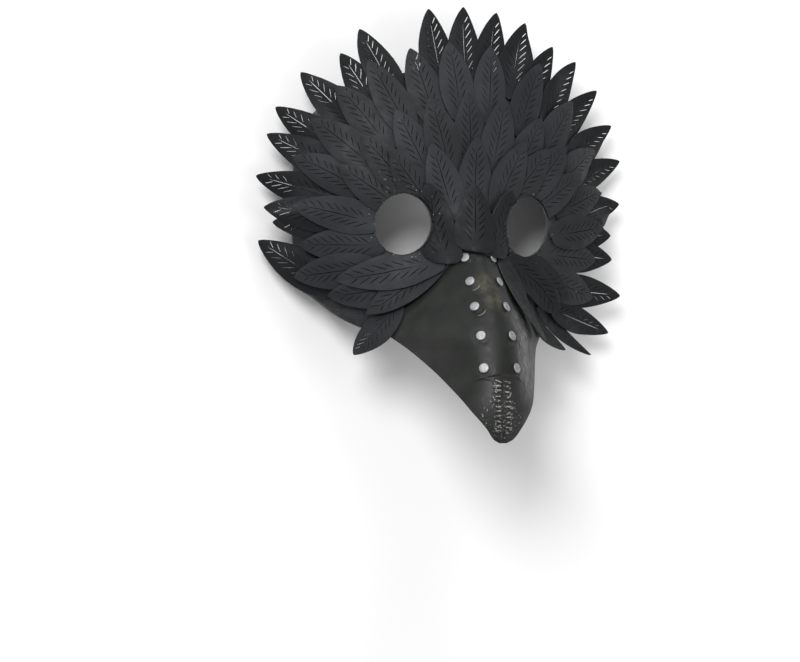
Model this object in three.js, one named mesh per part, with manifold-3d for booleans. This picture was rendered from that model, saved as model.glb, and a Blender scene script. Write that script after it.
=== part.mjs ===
// A bird half mask of black imitation leather: a thin curved face shell with two
// eye holes, a hollow hooked beak with two rows of domed studs, and rows of
// leaf-shaped feathers that overlap like tiles and splay out past the shell's rim.
// Millimetres. The mask lies on its back: +Z is the way it looks, +Y is towards
// its forehead and +X is to the right as a viewer sees it. While it is built, x and
// y count from the bridge of the nose, and z = 0 is the plane that the rims of its
// temples rest on. At the end the origin moves to the middle of its footprint.
import * as THREE from "three";
import { mergeVertices } from "three/addons/utils/BufferGeometryUtils.js";
import Module from "manifold-3d";

const wasm = await Module();
wasm.setup();

const GAP = 0.35; // air between pieces that touch
const SLACK = 0.03; // taken off the gap where a piece is cut by its neighbour
const ROUGHNESS = 0.06; // the largest change when small facets are merged
const FACE = { halfWidth: 87.5, rise: 94, drop: 145, depth: 60, centreY: 15 };
const SHELL = { thickness: 2, topY: 90, topWidth: 100, topCentreY: 10 };
const EYE = { x: 37.7, y: 0, halfWidth: 15.5, halfHeight: 17.2 };
const LEAF = { thickness: 0.8, tipHalfWidth: 0.15, blunt: 0.06 };
const STUD = { radius: 2.8, height: 1.3, rim: 0.4 };
const BEAK = { wall: 1.6, tipWall: 4, thickensFrom: 85, thickensTo: 116, top: 12, tip: -117.6 };
const FLANGE_LIFT = GAP + BEAK.wall + 0.45; // the beak's flange above the shell, along z
const FLANGE_STEP = 6; // the run over which feathers come down from it to the shell

// The lower edge of the right half of the shell, from its temple to the cheek,
// and then up round the arch over the wearer's nose.
const CHEEK_EDGE = [[100, -8], [86, -31], [71, -49], [57, -58], [38, -64]];
const NOSE_ARCH = [[27, -46], [18, -32], [10, -19], [0, -12]];

// The beak by height on the face. ridge is how far forward its spine stands, edge
// is its half width seen from the front, and spread is the half width at which its
// wall would meet the cheek.
const BEAK_STATIONS = [
  { y: 46, ridge: 57, edge: 8, spread: 14 },
  { y: 28, ridge: 61.5, edge: 10, spread: 17 },
  { y: 12, ridge: 66, edge: 12, spread: 20 },
  { y: 0, ridge: 71, edge: 16, spread: 22 },
  { y: -17, ridge: 79, edge: 24, spread: 26 },
  { y: -31, ridge: 90, edge: 34, spread: 35 },
  { y: -45, ridge: 100, edge: 45, spread: 47 },
  { y: -55, ridge: 106, edge: 50, spread: 58 },
  { y: -62, ridge: 109.5, edge: 43, spread: 65 },
  { y: -69, ridge: 112.5, edge: 35.6, spread: 65 },
  { y: -79.5, ridge: 116, edge: 28.2, spread: 71 },
  { y: -90, ridge: 118.5, edge: 21.4, spread: 80 },
  { y: -101, ridge: 120, edge: 14.4, spread: 95 },
  { y: -110, ridge: 120, edge: 9.2, spread: 95 },
  { y: -115.5, ridge: 118.5, edge: 5.6, spread: 95 },
  { y: -117.6, ridge: 117, edge: 1.8, spread: 95 },
];
const STUD_ROWS = [
  { y: -18, beside: 8 },
  { y: -31, beside: 8.4 },
  { y: -44.5, beside: 9 },
  { y: -60, beside: 8.8 },
  { y: -77.4, beside: 9 },
];

// The rows of feathers from the nose outwards, each over the roots of the next one.
// Every row fans out from a point on the centre line: at height fanY at the eyes and
// lower by fanDrop straight up. angles are clockwise from straight up, in degrees.
// The roots lie at the radius side from that point, and at the radius top straight
// up, and reach moves single feathers out or in by their number. follow is the share
// of the shell's curve that a feather takes along its length, and drape the share
// across. It rises from the shell by climb times its length, and the higher curl is,
// the nearer to the tip. facets is the number of facets along it. A fused row is one
// piece, in which every other feather lies FUSED_STEP of a layer higher.
const FUSED_STEP = 0.45;
const FAN = { fused: false, fanY: -12, fanDrop: 14, length: 48, width: 20, curl: 1, facets: 4 };
const INNER = { ...FAN, fused: true, top: 54, side: 29, length: 46, drape: 0.6, follow: 0.8,
  climb: 0.12, facets: 3 };
const OUTER = { ...FAN, top: 102, side: 62, curl: 2, drape: 0.3, follow: 0.08, climb: 0.26, facets: 5 };
const ROWS = [
  { ...INNER, name: "bridge_feathers", fanY: -60, fanDrop: 0, top: 47, side: 47, length: 39,
    blunt: 0.2, drape: 0.95, follow: 0.85, climb: 0.14, angles: [-15.5, 0, 16] },
  { ...INNER, name: "brow_feathers", top: 33, side: 33, drape: 0.7, follow: 0.85,
    angles: [-34, -17, 3, 25, 38] },
  { ...INNER, name: "eye_feathers", angles: [-53, -39.5, -25, -13, -0.5, 12, 27, 41, 54] },
  { ...INNER, name: "left_cheek_feathers", angles: [-126, -114, -103], reach: { 2: 4 } },
  { ...INNER, name: "right_cheek_feathers", angles: [104, 115, 126] },
  { ...FAN, name: "middle_feather", top: 84, side: 46, drape: 0.5, follow: 0.55, climb: 0.11,
    angles: [-136, -101, -90, -73, -57, -45, -34, -24, -13, -3, 8, 21.5, 36, 52, 66, 80, 94, 109] },
  { ...OUTER, name: "outer_feather",
    angles: [-83, -75.5, -67, -55.5, -48, -38, -29, -22, -6.5, 1, 8.5, 15.5, 23, 31, 40, 50, 60,
      73, 84, 93, 104, 116.5, 127, 136],
    reach: { 1: -7, 2: -7, 7: -7, 13: -6, 24: -10 } },
  { ...OUTER, name: "temple_feather", fanY: -50, fanDrop: 0, top: 66, side: 66, climb: 0.2,
    angles: [-68] },
];

const degrees = THREE.MathUtils.degToRad;
const { lerp, smoothstep } = THREE.MathUtils;

// A smooth curve through the beak's stations, read at any height.
function station(y, key) {
  const s = BEAK_STATIONS;
  const last = s.length - 1;
  if (y >= s[0].y) return s[0][key];
  if (y <= s[last].y) return s[last][key];
  const i = s.findIndex((next, n) => n > 0 && next.y <= y) - 1;
  const [before, a, b, after] = [s[Math.max(0, i - 1)], s[i], s[i + 1], s[Math.min(last, i + 2)]];
  const t = (y - a.y) / (b.y - a.y);
  const slopeA = ((b[key] - before[key]) / (b.y - before.y)) * (b.y - a.y);
  const slopeB = ((after[key] - a[key]) / (after.y - a.y)) * (b.y - a.y);
  const h = t * t * (3 - 2 * t);
  return a[key] * (1 - h) + b[key] * h + slopeA * t * (1 - t) ** 2 - slopeB * t * t * (1 - t);
}

// How far forward the face shell's outer side stands. Past its edge it goes on as a
// slope, so that a feather can be carried out over it.
function faceZ(x, y) {
  const tall = y > FACE.centreY ? FACE.rise : FACE.drop;
  const k = 1 - (x / FACE.halfWidth) ** 2 - ((y - FACE.centreY) / tall) ** 2;
  const edge = 0.03;
  if (k > edge) return FACE.depth * Math.sqrt(k);
  return FACE.depth * (Math.sqrt(edge) + (k - edge) / (2 * Math.sqrt(edge)));
}

// The beak's outer side, which comes down to its flange on both sides of the spine.
function beakZ(x, y) {
  const rise = y > BEAK_STATIONS[0].y ? 0 : station(y, "ridge") - faceZ(0, y) - FLANGE_LIFT;
  const across = Math.min(1, Math.abs(x) / station(y, "spread"));
  const share = Math.cos((Math.PI / 2) * across) ** 2;
  return faceZ(x, y) + FLANGE_LIFT + Math.max(0, rise) * share;
}

// What the feathers lie on: the beak's root and flange, and the shell around them.
function bedZ(x, y) {
  const beyond = Math.max(Math.abs(x) - station(y, "edge"), y - BEAK.top);
  return beakZ(x, y) - FLANGE_LIFT * smoothstep(beyond, 0, FLANGE_STEP);
}

// The rise of a height function over a step of one millimetre centred on x and y.
function slope(height, x, y, dx, dy) {
  return height(x + dx / 2, y + dy / 2) - height(x - dx / 2, y - dy / 2);
}

function normalOf(height, x, y) {
  return new THREE.Vector3(-slope(height, x, y, 1, 0), -slope(height, x, y, 0, 1), 1).normalize();
}

// Moves every vertex of a geometry, and leaves its triangles as they are.
function warp(geometry, move) {
  const position = geometry.getAttribute("position");
  for (let n = 0; n < position.count; n++) {
    const moved = move(position.getX(n), position.getY(n), position.getZ(n));
    position.setXYZ(n, moved.x, moved.y, moved.z);
  }
  return geometry;
}

function solidOf(geometry) {
  const loose = geometry.index ? geometry.toNonIndexed() : geometry.clone();
  loose.deleteAttribute("normal");
  loose.deleteAttribute("uv");
  const merged = mergeVertices(loose, 1e-4);
  const vertProperties = merged.getAttribute("position").array;
  const triVerts = new Uint32Array(merged.index.array);
  return new wasm.Manifold(new wasm.Mesh({ numProp: 3, vertProperties, triVerts }));
}

function geometryOf(solid) {
  const mesh = solid.getMesh();
  const geometry = new THREE.BufferGeometry();
  geometry.setAttribute("position", new THREE.BufferAttribute(mesh.vertProperties, mesh.numProp));
  geometry.setIndex(new THREE.BufferAttribute(mesh.triVerts, 1));
  geometry.computeVertexNormals();
  return geometry;
}

// The biggest body of a solid, without loose scraps and closed pockets.
function largest(solid) {
  return solid.decompose().reduce((a, b) => (a.volume() > b.volume() ? a : b));
}

function tidy(solid) {
  return largest(largest(solid).simplify(ROUGHNESS));
}

// The shell is a sheet on a half ellipsoid. Its thickness is laid on the inside, and
// grow thickens it on both sides.
function shellSheet(grow) {
  const [side, low, high] = [degrees(98), degrees(-36), degrees(57)];
  return warp(new THREE.BoxGeometry(1, 1, 1, 18, 11, 1), (i, j, k) => {
    const a = 2 * i * side;
    const b = lerp(low, high, j + 0.5);
    const tall = b > 0 ? FACE.rise : FACE.drop;
    const [x, y, z] = [Math.cos(b) * Math.sin(a), Math.sin(b), Math.cos(b) * Math.cos(a)];
    const inset = (0.5 - k) * (SHELL.thickness + 2 * grow) - grow;
    const out = new THREE.Vector3(x / FACE.halfWidth, y / tall, z / FACE.depth).normalize();
    return new THREE.Vector3(FACE.halfWidth * x, FACE.centreY + tall * y, FACE.depth * z)
      .addScaledVector(out, -inset);
  });
}

// The shell seen from the front: round over the forehead, with a curved lower edge
// and an arch over the nose.
function shellOutline() {
  const mirrored = ([x, y]) => new THREE.Vector2(-x, y);
  const plain = ([x, y]) => new THREE.Vector2(x, y);
  const rise = SHELL.topY - SHELL.topCentreY;
  const outline = new THREE.Shape();
  outline.absellipse(0, SHELL.topCentreY, SHELL.topWidth, rise, 0, Math.PI);
  outline.splineThru(CHEEK_EDGE.map(mirrored));
  outline.splineThru(NOSE_ARCH.map(mirrored));
  outline.splineThru([...NOSE_ARCH.slice(0, -1).reverse(), CHEEK_EDGE.at(-1)].map(plain));
  outline.splineThru(CHEEK_EDGE.slice(0, -1).reverse().map(plain));
  return outline;
}

function eyeCutter(side) {
  const hole = new THREE.Shape();
  hole.absellipse(side * EYE.x, EYE.y, EYE.halfWidth, EYE.halfHeight, 0, 2 * Math.PI);
  const prism = new THREE.ExtrudeGeometry(hole, {
    depth: 2 * FACE.depth,
    bevelEnabled: false,
    curveSegments: 10,
  });
  return solidOf(prism);
}

function faceShell(eyes) {
  const prism = new THREE.ExtrudeGeometry(shellOutline(), {
    depth: 2 * FACE.depth,
    bevelEnabled: false,
    curveSegments: 6,
  });
  const cut = solidOf(shellSheet(0)).intersect(solidOf(prism));
  return eyes.reduce((shell, eye) => shell.subtract(eye), cut);
}

// The beak is a sheet over its own outline, thin at the cheeks and thick at the tip.
function beakSheet(grow) {
  return warp(new THREE.BoxGeometry(1, 1, 1, 12, 17, 1), (i, j, k) => {
    const y = lerp(BEAK.tip, BEAK.top, j + 0.5);
    const x = 2 * i * (station(y, "edge") + grow);
    const near = smoothstep(-y, BEAK.thickensFrom, BEAK.thickensTo);
    const wall = lerp(BEAK.wall, BEAK.tipWall, near) + 2 * grow;
    const inset = (0.5 - k) * wall - grow;
    return new THREE.Vector3(x, y, beakZ(x, y)).addScaledVector(normalOf(beakZ, x, y), -inset);
  });
}

// A leaf's half width along its length, as a share of its greatest. It is drawn to
// a point at the tip, and blunt says how much of its base is cut away.
function leafShare(u, blunt) {
  const v = lerp(blunt, 1, u);
  return Math.sin(Math.PI * v ** 0.75) ** 0.85;
}

// The frames along a feather, from root to tip. Each has its place, its way along,
// its way across and its normal. A feather leaves the bed at its root, and takes a
// share of the bed's curve from there on.
function featherFrames(row, number) {
  const angle = degrees(row.angles[number - 1]);
  const [sin, cos] = [Math.sin(angle), Math.cos(angle)];
  const upward = Math.max(0, cos);
  const radius = lerp(row.side, row.top, upward) + (row.reach?.[number] ?? 0);
  const steps = 20;
  const pace = row.length / steps;
  let [x, y] = [radius * sin, row.fanY - row.fanDrop * upward + radius * cos];
  const root = new THREE.Vector3(x, y, bedZ(x, y));
  const tangent = new THREE.Vector3(sin, cos, slope(bedZ, x, y, sin, cos)).normalize();
  const roll = slope(bedZ, x, y, cos, -sin);
  const frames = [];
  for (let n = 0; n <= steps; n++) {
    const fall = slope(bedZ, x, y, sin, cos);
    const tilt = lerp(roll, slope(bedZ, x, y, cos, -sin), row.follow);
    const onBed = new THREE.Vector3(x, y, bedZ(x, y));
    const at = root.clone().addScaledVector(tangent, n * pace).lerp(onBed, row.follow);
    const along = new THREE.Vector3(sin, cos, fall).normalize();
    const way = tangent.clone().lerp(along, row.follow).normalize();
    const across = new THREE.Vector3(cos, -sin, tilt).normalize();
    frames.push({ at, way, across, normal: across.clone().cross(way).normalize() });
    x += (sin * pace) / Math.hypot(1, fall);
    y += (cos * pace) / Math.hypot(1, fall);
  }
  return frames;
}

// How far the bed falls away on both sides of a point, on average.
function sag(at, across, aside) {
  const [dx, dy] = [across.x * aside, across.y * aside];
  return (bedZ(at.x + dx, at.y + dy) + bedZ(at.x - dx, at.y - dy)) / 2 - bedZ(at.x, at.y);
}

// Bends what would dip under the resting plane up to lie along it.
function aboveFloor(z) {
  const [floor, softness] = [0.7, 5];
  return floor + softness * Math.log1p(Math.exp((z - floor) / softness));
}

function feather(row, number, level, grow) {
  const frames = featherFrames(row, number);
  const geometry = new THREE.BoxGeometry(1, 1, 1, 2, row.facets, 1);
  return warp(geometry, (i, j, k) => {
    const u = j + 0.5;
    const { at, way, across, normal } = frames[Math.round(u * (frames.length - 1))];
    const share = leafShare(u, row.blunt ?? LEAF.blunt);
    const aside = 2 * i * ((row.width / 2) * share + LEAF.tipHalfWidth + grow);
    const end = Math.abs(j) === 0.5 ? 2 * j * grow : 0;
    const layer = GAP + level * (LEAF.thickness + GAP) + row.drape * sag(at, across, aside);
    const rise = layer + row.climb * u ** row.curl * row.length;
    const height = rise + (k + 0.5) * (LEAF.thickness + 2 * grow) - grow;
    const point = at.clone().addScaledVector(across, aside).addScaledVector(way, end);
    point.addScaledVector(normal, height);
    return point.setZ(aboveFloor(point.z));
  });
}

function stud(x, y) {
  const profile = new THREE.Shape();
  profile.moveTo(0, 0);
  profile.lineTo(STUD.radius, 0);
  profile.lineTo(STUD.radius, STUD.rim);
  profile.quadraticCurveTo(STUD.radius * 0.8, STUD.height, 0, STUD.height);
  const up = normalOf(beakZ, x, y);
  const mesh = new THREE.Mesh(new THREE.LatheGeometry(profile.getPoints(2), 8), nickel);
  mesh.quaternion.setFromUnitVectors(new THREE.Vector3(0, 1, 0), up);
  mesh.position.set(x, y, beakZ(x, y)).addScaledVector(up, GAP);
  return mesh;
}

const leather = new THREE.MeshStandardMaterial({ color: 0x333437, roughness: 0.62 });
const beakLeather = new THREE.MeshStandardMaterial({ color: 0x262827, roughness: 0.45 });
const lining = new THREE.MeshStandardMaterial({ color: 0x1c1d1f, roughness: 0.9 });
const nickel = new THREE.MeshStandardMaterial({ color: 0xc9c9c6, roughness: 0.3, metalness: 1 });

const mask = new THREE.Group();

function add(name, geometry, material) {
  const mesh = new THREE.Mesh(geometry, material);
  mesh.name = name;
  mask.add(mesh);
}

const eyes = [-1, 1].map(eyeCutter);
add("face_shell", geometryOf(tidy(faceShell(eyes))), lining);
add("beak", beakSheet(0), beakLeather);

// Feathers are made from the top layer down. Each one gives way to the grown form of
// the shell, the beak and the feathers made before it. In a fused row neighbours run
// together instead.
const underneath = [shellSheet(GAP - SLACK), beakSheet(GAP - SLACK)].map(solidOf);
const overhead = [];
for (const row of ROWS) {
  const step = row.fused ? FUSED_STEP : 1;
  const order = row.angles.map((_, n) => ({ number: n + 1, level: step * (n % 2) }));
  order.sort((a, b) => b.level - a.level || a.number - b.number);
  const made = [];
  const grown = [];
  for (const { number, level } of order) {
    const neighbours = row.fused ? [] : grown;
    const cutters = [...underneath, ...overhead, ...neighbours, ...eyes];
    const whole = solidOf(feather(row, number, level, 0));
    const cut = cutters.filter((other) => whole.intersect(other).volume() > 0);
    const solid = tidy(cut.reduce((left, other) => left.subtract(other), whole));
    made.push(solid);
    grown.push(solidOf(feather(row, number, level, GAP - SLACK)));
    const label = String(number).padStart(2, "0");
    if (!row.fused) add(`${row.name}_${label}`, geometryOf(solid), leather);
  }
  const joined = made.reduce((all, solid) => all.add(solid));
  if (row.fused) add(row.name, geometryOf(tidy(joined)), leather);
  overhead.push(...grown);
}

STUD_ROWS.forEach(({ y, beside }, n) => {
  for (const side of [-1, 1]) {
    const mesh = stud(side * beside, y);
    mesh.name = `stud_${side < 0 ? "left" : "right"}_${n + 1}`;
    mask.add(mesh);
  }
});

const box = new THREE.Box3().setFromObject(mask, true);
const middle = box.getCenter(new THREE.Vector3());
mask.position.set(-middle.x, -middle.y, -box.min.z);

export default mask;
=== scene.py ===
"""A bird half mask of charcoal imitation leather, lying on its back on a pale floor.

Lengths are millimetres until a mesh is finished. Points count from the bridge of the
nose, with +Z the way the mask looks, and Place turns them into the frame's metres.
"""

import logging
import math
from collections.abc import Callable
from dataclasses import dataclass, field
from enum import Enum

import bpy
import numpy as np
from mathutils import Matrix, Vector


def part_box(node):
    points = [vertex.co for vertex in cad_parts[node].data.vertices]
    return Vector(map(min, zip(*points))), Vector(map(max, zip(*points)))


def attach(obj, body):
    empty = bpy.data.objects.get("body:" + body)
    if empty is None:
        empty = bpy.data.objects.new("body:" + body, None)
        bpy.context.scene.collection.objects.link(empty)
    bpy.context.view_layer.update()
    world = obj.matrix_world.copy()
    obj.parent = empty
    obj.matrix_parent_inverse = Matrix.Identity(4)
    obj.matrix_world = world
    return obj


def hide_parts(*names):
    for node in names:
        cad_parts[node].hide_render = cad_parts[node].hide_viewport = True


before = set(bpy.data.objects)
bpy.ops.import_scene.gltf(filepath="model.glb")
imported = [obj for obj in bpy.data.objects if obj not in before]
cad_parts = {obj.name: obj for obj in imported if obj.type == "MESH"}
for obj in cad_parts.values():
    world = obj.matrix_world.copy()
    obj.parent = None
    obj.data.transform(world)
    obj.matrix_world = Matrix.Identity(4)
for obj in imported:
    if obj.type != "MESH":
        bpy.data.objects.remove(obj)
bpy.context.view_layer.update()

log = logging.getLogger("mask")
logging.basicConfig(level=logging.INFO, format="%(message)s")

Array = np.ndarray
Pairs = tuple[tuple[float, float], ...]
Socket = bpy.types.NodeSocket
Value = Socket | float
Colour = Socket | str

MILLI = 0.001
PHOTO_WIDTH, PHOTO_HEIGHT = 800, 662
GAP = 0.35  # the glue between pieces that touch
# Across the face; the right eye hole is cut a little nearer the nose.
EYE_X = {-1: -37.7, 1: 35.9}
EYE_HALF_WIDTH, EYE_HALF_HEIGHT = 15.5, 17.2


class Side(Enum):
    """Which faces of a sheet wear a finish."""

    OUTER = 0
    EDGE = 1
    INNER = 2


@dataclass
class Place:
    """Carries points of the mask's own millimetres to the frame's metres."""

    top: float = 90.0

    def __post_init__(self) -> None:
        """Reads the offset from the face shell, whose top edge is at a known height."""
        low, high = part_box("face_shell")
        self.offset = np.array([(low.x + high.x) / 2, high.y - self.top * MILLI, 0.0])

    def to_frame(self, points: Array) -> Array:
        """Turns points in millimetres into points of the frame.

        Args:
            points: rows of x, y and z in millimetres.

        Returns:
            The same rows in metres, from the frame's origin.
        """
        return points * MILLI + self.offset


PLACE = Place()


def unit(vectors: Array) -> Array:
    """Returns the rows of vectors at length one."""
    return vectors / np.maximum(np.linalg.norm(vectors, axis=-1, keepdims=True), 1e-9)


def smooth(value: Array, low: float, high: float) -> Array:
    """Steps smoothly between two limits.

    Args:
        value: the values to step.
        low: where the step starts.
        high: where it ends.

    Returns:
        0 up to low, 1 from high on, and a smooth rise between.
    """
    t = np.clip((value - low) / (high - low), 0, 1)
    return t * t * (3 - 2 * t)


def bump(value: Array, width: float) -> Array:
    """Returns a round bump, 1 at zero and nearly 0 past twice the width."""
    return np.exp(-((value / width) ** 2))


@dataclass
class Head:
    """The heights of the face shell, the beak and what the feathers lie on."""

    half_width: float = 87.5
    rise: float = 94.0
    drop: float = 145.0
    depth: float = 60.0
    centre_y: float = 15.0
    beak_top: float = 12.0
    beak_tip: float = -117.6
    lift: float = GAP + 1.6 + 0.45  # the beak's flange above the shell
    step: float = 6.0  # the run over which feathers come down from the flange
    floor: float = 0.7  # the lowest that a feather lies over the resting plane
    softness: float = 5.0
    # Height on the face, how far forward the spine stands, half width seen from the
    # front, and half width at which the wall would meet the cheek.
    stations: tuple[tuple[float, float, float, float], ...] = (
        (46, 57, 8, 14),
        (28, 61.5, 10, 17),
        (12, 66, 12, 20),
        (0, 71, 16, 22),
        (-17, 79, 24, 26),
        (-31, 90, 34, 35),
        (-45, 100, 45, 47),
        (-55, 106, 50.5, 58),
        (-62, 109.5, 45.5, 65),
        (-69, 112.5, 38, 65),
        (-79.5, 116, 29.8, 71),
        (-90, 118.5, 22.9, 80),
        (-101, 120, 15.9, 95),
        (-110, 120, 9.7, 95),
        (-115.5, 118.5, 5.9, 95),
        (-117.6, 117, 2.2, 95),
    )

    def __post_init__(self) -> None:
        """Keeps the stations as a table by column."""
        self.table = np.array(self.stations, float)

    def station(self, y: Array, column: int) -> Array:
        """Reads a smooth curve through the stations.

        Args:
            y: heights on the face.
            column: 1 for the spine, 2 for the edge and 3 for the spread.

        Returns:
            The value at each height.
        """
        heights, values = self.table[:, 0], self.table[:, column]
        last = len(heights) - 1
        i = np.clip(np.searchsorted(-heights, -y, side="left") - 1, 0, last - 1)
        before, after = np.maximum(i - 1, 0), np.minimum(i + 2, last)
        span = heights[i + 1] - heights[i]
        t = np.clip((y - heights[i]) / span, 0, 1)
        slope_a = (values[i + 1] - values[before]) / (heights[i + 1] - heights[before]) * span
        slope_b = (values[after] - values[i]) / (heights[after] - heights[i]) * span
        h = t * t * (3 - 2 * t)
        ends = values[i] * (1 - h) + values[i + 1] * h
        return ends + slope_a * t * (1 - t) ** 2 - slope_b * t * t * (1 - t)

    def face_z(self, x: Array, y: Array) -> Array:
        """Finds how far forward the shell's outer side stands.

        Args:
            x: places across the face.
            y: heights on the face.

        Returns:
            The height over the resting plane at each point.
        """
        tall = np.where(y > self.centre_y, self.rise, self.drop)
        k = 1 - (x / self.half_width) ** 2 - ((y - self.centre_y) / tall) ** 2
        edge = 0.03
        inside = np.sqrt(np.maximum(k, edge))
        outside = math.sqrt(edge) + (k - edge) / (2 * math.sqrt(edge))
        return self.depth * np.where(k > edge, inside, outside)

    def beak_z(self, x: Array, y: Array) -> Array:
        """Finds how far forward the beak's outer side stands.

        Args:
            x: places across the face.
            y: heights on the face.

        Returns:
            The height over the resting plane at each point.
        """
        centre = self.face_z(np.zeros_like(y), y)
        rise = np.maximum(0, self.station(y, 1) - centre - self.lift)
        rise = np.where(y > self.stations[0][0], 0, rise)
        across = np.minimum(1, np.abs(x) / self.station(y, 3))
        return self.face_z(x, y) + self.lift + rise * np.cos(math.pi / 2 * across) ** 2

    def bed_z(self, x: Array, y: Array) -> Array:
        """Returns the height that feathers lie on: the beak's flange and the shell."""
        beyond = np.maximum(np.abs(x) - self.station(y, 2), y - self.beak_top)
        return self.beak_z(x, y) - self.lift * smooth(beyond, 0, self.step)

    def bed_at(self, x: float, y: float) -> float:
        """Returns the height of the bed at one point."""
        return float(self.bed_z(np.array(x), np.array(y)))

    def fall(self, x: float, y: float, right: float, up: float) -> float:
        """Returns how much the bed rises over a short step, centred on a point."""
        ahead = self.bed_at(x + right / 2, y + up / 2)
        return ahead - self.bed_at(x - right / 2, y - up / 2)

    def normal(self, height: Callable[[Array, Array], Array], x: Array, y: Array) -> Array:
        """Finds the outward normals of one of the heights above.

        Args:
            height: face_z, beak_z or bed_z.
            x: places across the face.
            y: heights on the face.

        Returns:
            A unit vector for each point.
        """
        dx = height(x + 0.5, y) - height(x - 0.5, y)
        dy = height(x, y + 0.5) - height(x, y - 0.5)
        return unit(np.stack([-dx, -dy, np.ones_like(dx)], -1))

    def above_floor(self, z: Array) -> Array:
        """Bends heights that would dip under the resting plane up to lie along it."""
        return self.floor + self.softness * np.log1p(np.exp((z - self.floor) / self.softness))


HEAD = Head()


@dataclass
class Stack:
    """The tops of the layers laid so far, as a map of heights seen from the front."""

    cell: float = 0.5
    extent: float = 140.0

    def __post_init__(self) -> None:
        """Starts with nothing laid."""
        count = int(2 * self.extent / self.cell)
        self.top = np.full((count, count), -np.inf)

    def find(self, points: Array) -> tuple[Array, Array]:
        """Returns the row and the column of each point."""
        index = ((points[..., :2] + self.extent) / self.cell).astype(int)
        return index[..., 1], index[..., 0]

    def lay(self, points: Array) -> None:
        """Adds the top side of a layer, given as closely set points."""
        flat = points.reshape(-1, 3)
        np.maximum.at(self.top, self.find(flat), flat[:, 2])

    def shortfall(self, points: Array, normals: Array, clearance: float) -> Array:
        """Finds how far points must rise along their normals to clear what is laid.

        Args:
            points: points of a leaf's back.
            normals: the leaf's normals there.
            clearance: the air to leave.

        Returns:
            The rise at each point, 0 where nothing is in the way.
        """
        gap = np.maximum(0, self.top[self.find(points)] - points[..., 2])
        facing = np.clip(normals[..., 2], 0.2, 1)
        return np.where(gap > 0, gap * facing + clearance, 0)


def windowed(values: Array, down: int, across: int, combine: Callable) -> Array:
    """Combines the window around each cell, first down and then across.

    Args:
        values: a table.
        down: how many rows the window takes in on each side.
        across: how many columns it takes in on each side.
        combine: np.max or np.mean.

    Returns:
        A table of the same size.
    """
    out = values
    for axis, reach in ((0, down), (1, across)):
        padded = np.pad(out, [(reach, reach) if a == axis else (0, 0) for a in (0, 1)], "edge")
        length = out.shape[axis]
        shifted = [np.take(padded, range(n, n + length), axis) for n in range(2 * reach + 1)]
        out = combine(shifted, 0)
    return out


def steady(rows: Array, reach: int) -> Array:
    """Returns a path smoothed by a moving mean that keeps its two ends.

    Args:
        rows: the path, a row a step.
        reach: how many steps the mean takes in on each side.

    Returns:
        The smoothed path.
    """
    front = 2 * rows[0] - rows[reach:0:-1]
    back = 2 * rows[-1] - rows[-2 : -reach - 2 : -1]
    padded = np.concatenate([front, rows, back])
    return np.mean([padded[n : n + len(rows)] for n in range(2 * reach + 1)], 0)


def colour(hex_value: str) -> tuple[float, float, float, float]:
    """Turns an sRGB hex value into a linear colour.

    Args:
        hex_value: six digits, such as "3a3b3e".

    Returns:
        Red, green, blue and an alpha of 1.
    """
    parts = [int(hex_value[n : n + 2], 16) / 255 for n in (0, 2, 4)]
    linear = [p / 12.92 if p <= 0.04045 else ((p + 0.055) / 1.055) ** 2.4 for p in parts]
    return (*linear, 1.0)


def add_node(
    tree: bpy.types.NodeTree, kind: str, settings: dict | None = None, inputs: dict | None = None
) -> bpy.types.Node:
    """Adds a node with its settings, and links or sets its inputs.

    Args:
        tree: the node tree.
        kind: the node's type name.
        settings: its properties by name.
        inputs: values or output sockets by input name or number.

    Returns:
        The new node.
    """
    node = tree.nodes.new(kind)
    for name, value in (settings or {}).items():
        setattr(node, name, value)
    for name, value in (inputs or {}).items():
        if isinstance(value, bpy.types.NodeSocket):
            tree.links.new(value, node.inputs[name])
        else:
            node.inputs[name].default_value = value
    return node


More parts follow.
